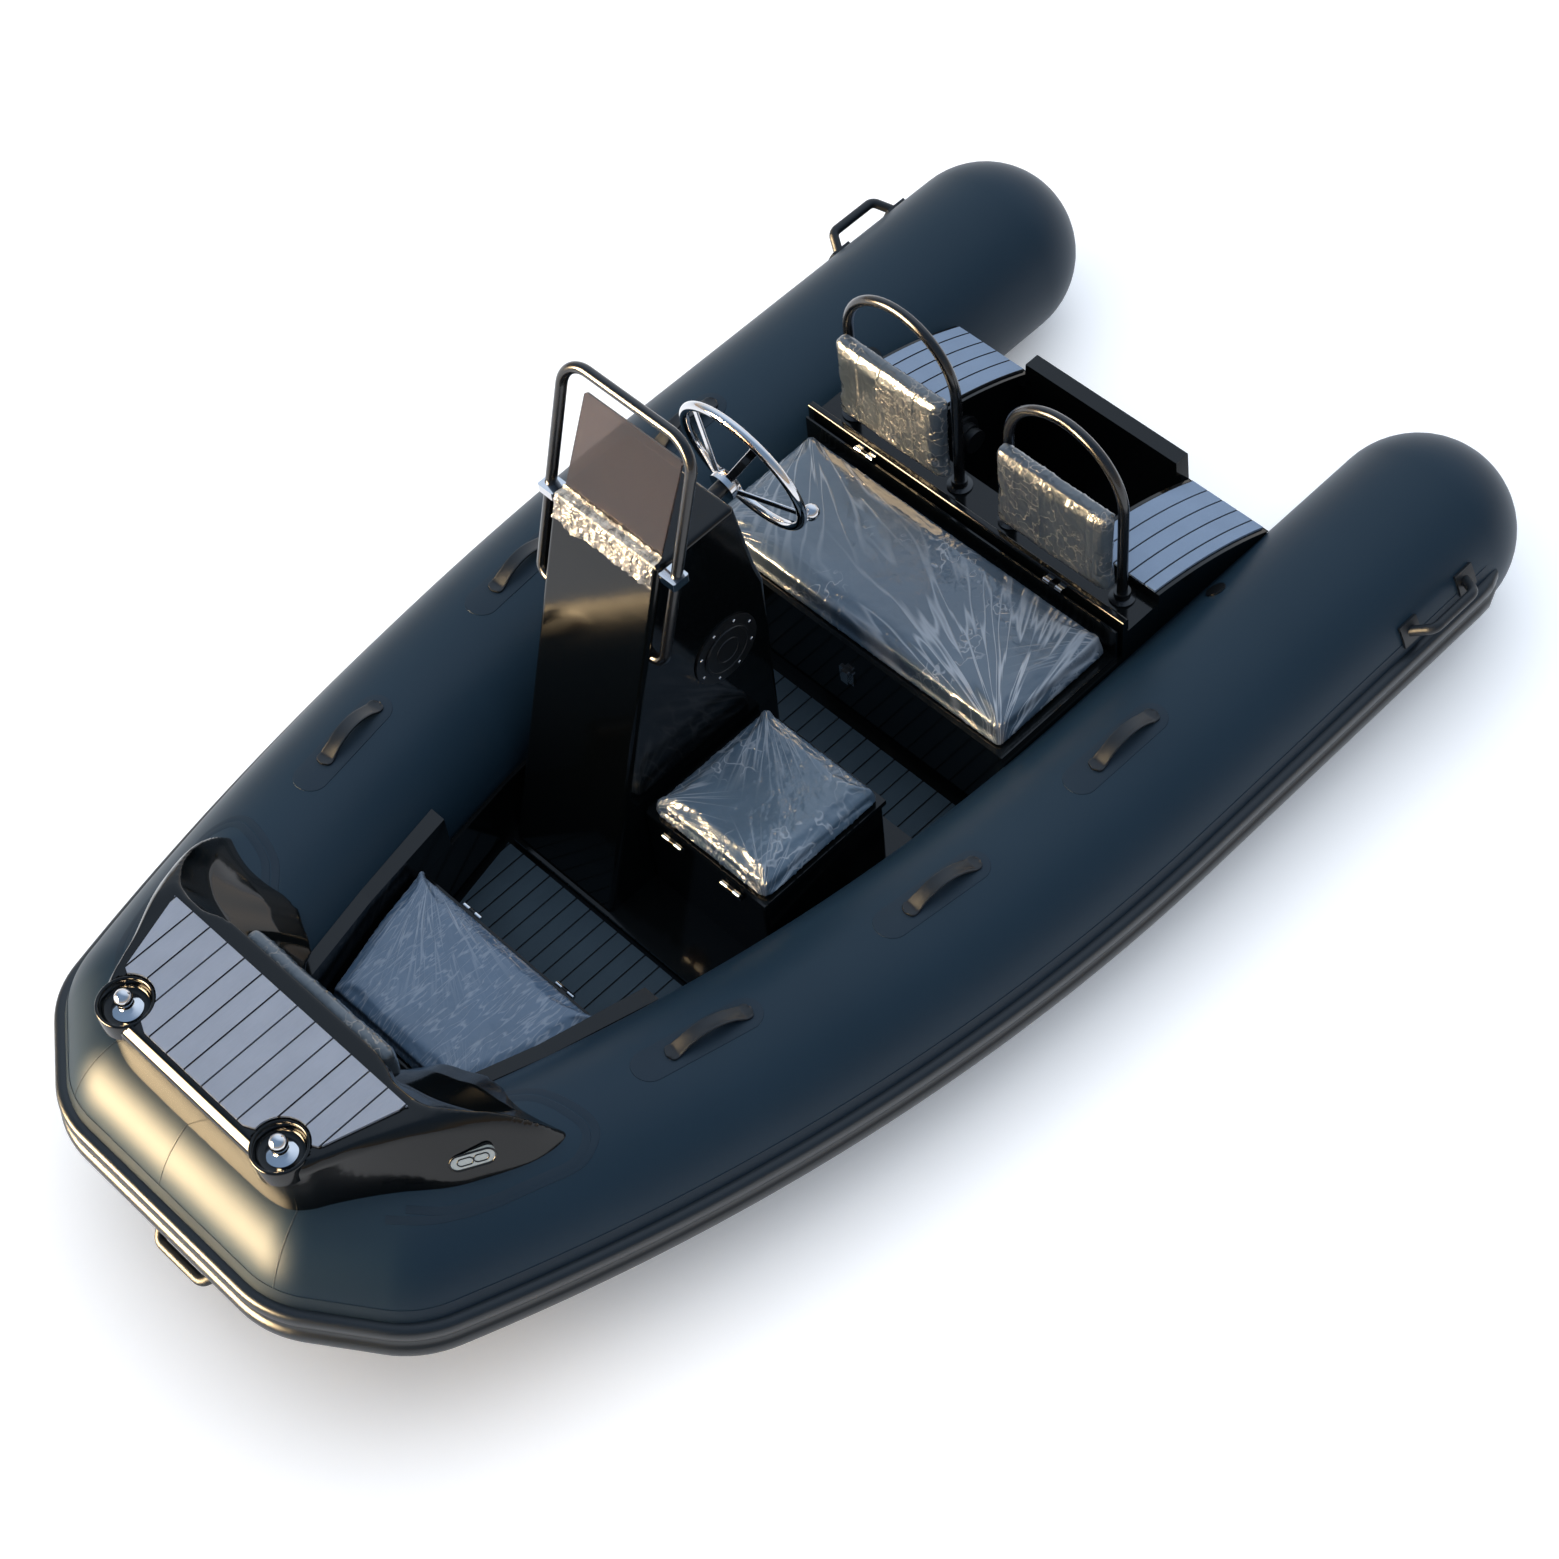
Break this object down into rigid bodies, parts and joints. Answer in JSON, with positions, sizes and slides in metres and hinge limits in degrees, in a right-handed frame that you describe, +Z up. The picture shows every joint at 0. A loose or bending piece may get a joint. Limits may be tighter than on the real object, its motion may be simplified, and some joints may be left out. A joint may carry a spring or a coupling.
{
  "type": "rigid inflatable boat",
  "caption": "Small rigid inflatable boat with moulded deep V bottom, blunt-bowed tube collar, steering console, bench with hooped backrests, box seat and bow seat with lockers.",
  "frame": {"origin": "on the centreline at the waterline, 1.15 m ahead of the transom's aft face", "axes": "+X towards the bow, +Y to port, +Z up"},
  "size_m": [3.3616, 1.8712, 1.4975],
  "materials": {
    "coated_tube": "black powder coated tube",
    "cushion_vinyl": "coated upholstery fabric under clear film",
    "floor_foam": "dark closed cell foam decking",
    "foam_deck": "closed cell foam decking with dark grooves",
    "gelcoat": "polished black gelcoat on glass fibre",
    "moulded_plastic": "black moulded plastic",
    "moulded_rubber": "moulded rubber, matte",
    "polished_steel": "polished stainless steel",
    "smoked_acrylic": "dark smoked acrylic sheet",
    "strake_rubber": "extruded rubber, satin",
    "tube_fabric": "matte coated tube fabric, near black"
  },
  "bodies": {
    "boat": {"aft_step_pads": "foam_deck", "aft_steps": "gelcoat", "backrest_hoop_port": "coated_tube", "backrest_hoop_starboard": "coated_tube", "backrest_port": "cushion_vinyl", "backrest_starboard": "cushion_vinyl", "bench_base": "gelcoat", "bench_hinges": "polished_steel", "bench_latch": "polished_steel", "bench_rail": "gelcoat", "bow_backrest": "cushion_vinyl", "bow_bitts": "polished_steel", "bow_coamings": "gelcoat", "bow_eye": "polished_steel", "bow_handle": "moulded_rubber", "bow_lid_hinges": "polished_steel", "bow_locker": "gelcoat", "bow_pad": "foam_deck", "bow_step": "gelcoat", "console": "gelcoat", "console_plinth": "gelcoat", "deck_liner": "gelcoat", "floor_pads": "floor_foam", "grab_rail": "coated_tube", "grab_straps_port": "moulded_rubber", "grab_straps_starboard": "moulded_rubber", "helm": "moulded_plastic", "hoop_sockets": "coated_tube", "hull": "gelcoat", "navigation_lights": "moulded_plastic", "rail_brackets": "polished_steel", "rigging_boot": "moulded_plastic", "round_hatch": "moulded_plastic", "rub_strake": "strake_rubber", "seat_box": "gelcoat", "seat_box_hinges": "polished_steel", "stern_handles": "moulded_rubber", "transom": "gelcoat", "tube_bow": "tube_fabric", "tube_port": "tube_fabric", "tube_starboard": "tube_fabric", "tube_valves": "moulded_plastic", "windscreen": "smoked_acrylic"},
    "steering_wheel": {"steering_wheel": "polished_steel"},
    "bench_lid": {"bench_lid": "gelcoat", "bench_cushion": "cushion_vinyl"},
    "seat_box_lid": {"seat_box_lid": "gelcoat", "seat_box_cushion": "cushion_vinyl"},
    "bow_lid": {"bow_lid": "gelcoat", "bow_cushion": "cushion_vinyl"}
  },
  "joints": [
    {"name": "steering_turn", "type": "hinge", "parent": "boat", "child": "steering_wheel", "pos_m": [-0.175, -0.165, 0.92], "axis": [-0.9848, 0, 0.1736], "range_deg": [-540, 540]},
    {"name": "bench_lid_hinge", "type": "hinge", "parent": "boat", "child": "bench_lid", "pos_m": [-0.632, 0, 0.47], "axis": [0, -1, 0], "range_deg": [0, 90]},
    {"name": "seat_box_lid_hinge", "type": "hinge", "parent": "boat", "child": "seat_box_lid", "pos_m": [0.357, 0.18, 0.359], "axis": [0, 1, 0], "range_deg": [0, 100]},
    {"name": "bow_lid_hinge", "type": "hinge", "parent": "boat", "child": "bow_lid", "pos_m": [0.737, 0, 0.276], "axis": [0, -1, 0], "range_deg": [0, 100]}
  ]
}
